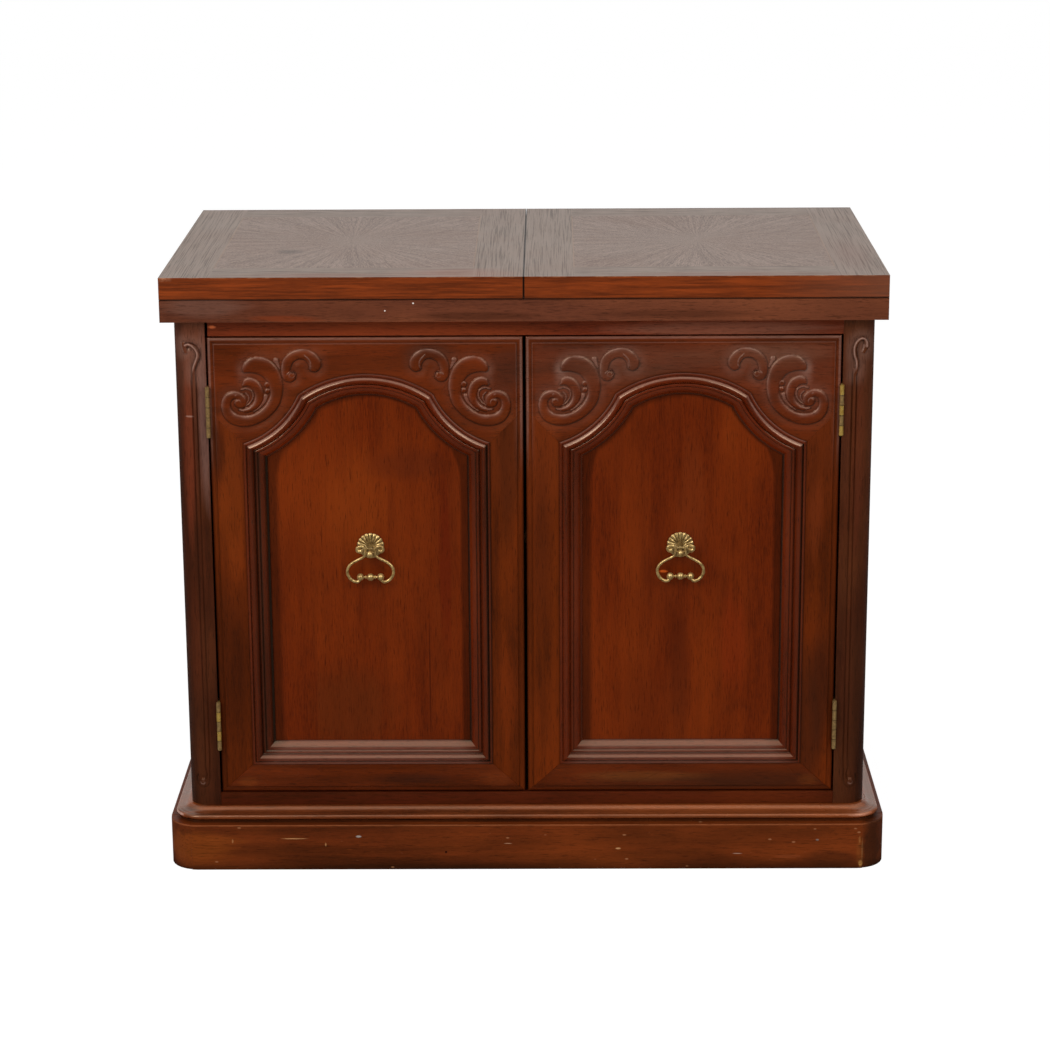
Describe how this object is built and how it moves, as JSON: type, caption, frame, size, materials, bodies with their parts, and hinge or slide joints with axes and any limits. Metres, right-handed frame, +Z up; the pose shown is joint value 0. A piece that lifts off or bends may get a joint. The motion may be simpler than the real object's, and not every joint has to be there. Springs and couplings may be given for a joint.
{
  "type": "bar cabinet",
  "caption": "Low bar cabinet with arched panel doors on drop pulls, a moulded base, and a folding top whose leaves swing out over the ends as serving shelves.",
  "frame": {"origin": "on the floor, in the middle of the plinth", "axes": "+X to the right across the doors, +Y to the back, +Z up"},
  "size_m": [0.9414, 0.5176, 0.79],
  "materials": {
    "case_wood": "dark red-brown stain under satin lacquer",
    "panel_wood": "red-brown ribbon veneer, satin lacquer",
    "top_wood": "bordered veneer with glossy lacquer",
    "board_wood": "brown stain, glossy lacquer",
    "plinth_wood": "brown stain, worn satin lacquer",
    "inside_wood": "plain sealed wood",
    "pull_brass": "antique brass, dark in the hollows",
    "hinge_brass": "plain brass",
    "catch_steel": "plain zinc plate"
  },
  "bodies": {
    "case": {"apron_front": "case_wood", "back_panel": "inside_wood", "back_rail": "inside_wood", "base_deck": "plinth_wood", "bottom_panel": "inside_wood", "bottom_rail": "case_wood", "catch_left": "catch_steel", "catch_right": "catch_steel", "left_door_hinge_lower_post_half": "hinge_brass", "left_door_hinge_upper_post_half": "hinge_brass", "left_leaf_hinge_back_board_half": "hinge_brass", "left_leaf_hinge_front_board_half": "hinge_brass", "plinth_back": "plinth_wood", "plinth_corner_left": "plinth_wood", "plinth_corner_right": "plinth_wood", "plinth_front": "plinth_wood", "plinth_left": "plinth_wood", "plinth_right": "plinth_wood", "post_left": "case_wood", "post_right": "case_wood", "right_door_hinge_lower_post_half": "hinge_brass", "right_door_hinge_upper_post_half": "hinge_brass", "right_leaf_hinge_back_board_half": "hinge_brass", "right_leaf_hinge_front_board_half": "hinge_brass", "shelf": "inside_wood", "shelf_cleat_left": "inside_wood", "shelf_cleat_right": "inside_wood", "side_left": "case_wood", "side_right": "case_wood", "top_board": "board_wood"},
    "left_leaf": {"left_leaf": "top_wood", "left_leaf_hinge_back_leaf_half": "hinge_brass", "left_leaf_hinge_front_leaf_half": "hinge_brass"},
    "right_leaf": {"right_leaf": "top_wood", "right_leaf_hinge_back_leaf_half": "hinge_brass", "right_leaf_hinge_front_leaf_half": "hinge_brass"},
    "left_door": {"left_door_hinge_lower_door_half": "hinge_brass", "left_door_hinge_upper_door_half": "hinge_brass", "left_door_moulding": "case_wood", "left_door_panel": "panel_wood", "left_door_rail_bottom": "case_wood", "left_door_rail_top": "case_wood", "left_door_stile_hinge": "case_wood", "left_door_stile_meeting": "case_wood", "left_door_strike": "catch_steel", "left_pull_plate": "pull_brass", "left_pull_post": "pull_brass"},
    "right_door": {"right_door_hinge_lower_door_half": "hinge_brass", "right_door_hinge_upper_door_half": "hinge_brass", "right_door_moulding": "case_wood", "right_door_panel": "panel_wood", "right_door_rail_bottom": "case_wood", "right_door_rail_top": "case_wood", "right_door_stile_hinge": "case_wood", "right_door_stile_meeting": "case_wood", "right_door_strike": "catch_steel", "right_pull_plate": "pull_brass", "right_pull_post": "pull_brass"},
    "left_bail": {"left_pull_bail": "pull_brass"},
    "right_bail": {"right_pull_bail": "pull_brass"}
  },
  "joints": [
    {"name": "left_leaf_fold", "type": "hinge", "parent": "case", "child": "left_leaf", "pos_m": [-0.4576, 0, 0.7615], "axis": [0, -1, 0], "range_deg": [0, 180]},
    {"name": "left_door_swing", "type": "hinge", "parent": "case", "child": "left_door", "pos_m": [-0.4025, -0.23158, 0.403], "axis": [0, 0, -1], "range_deg": [0, 170]},
    {"name": "left_bail_lift", "type": "hinge", "parent": "left_door", "child": "left_bail", "pos_m": [-0.19995, -0.23008, 0.4264], "axis": [-1, 0, 0], "range_deg": [0, 95]},
    {"name": "right_leaf_fold", "type": "hinge", "parent": "case", "child": "right_leaf", "pos_m": [0.4576, 0, 0.7615], "axis": [0, 1, 0], "range_deg": [0, 180]},
    {"name": "right_door_swing", "type": "hinge", "parent": "case", "child": "right_door", "pos_m": [0.4025, -0.23158, 0.403], "axis": [0, 0, 1], "range_deg": [0, 170]},
    {"name": "right_bail_lift", "type": "hinge", "parent": "right_door", "child": "right_bail", "pos_m": [0.19995, -0.23008, 0.4264], "axis": [-1, 0, 0], "range_deg": [0, 95]}
  ]
}
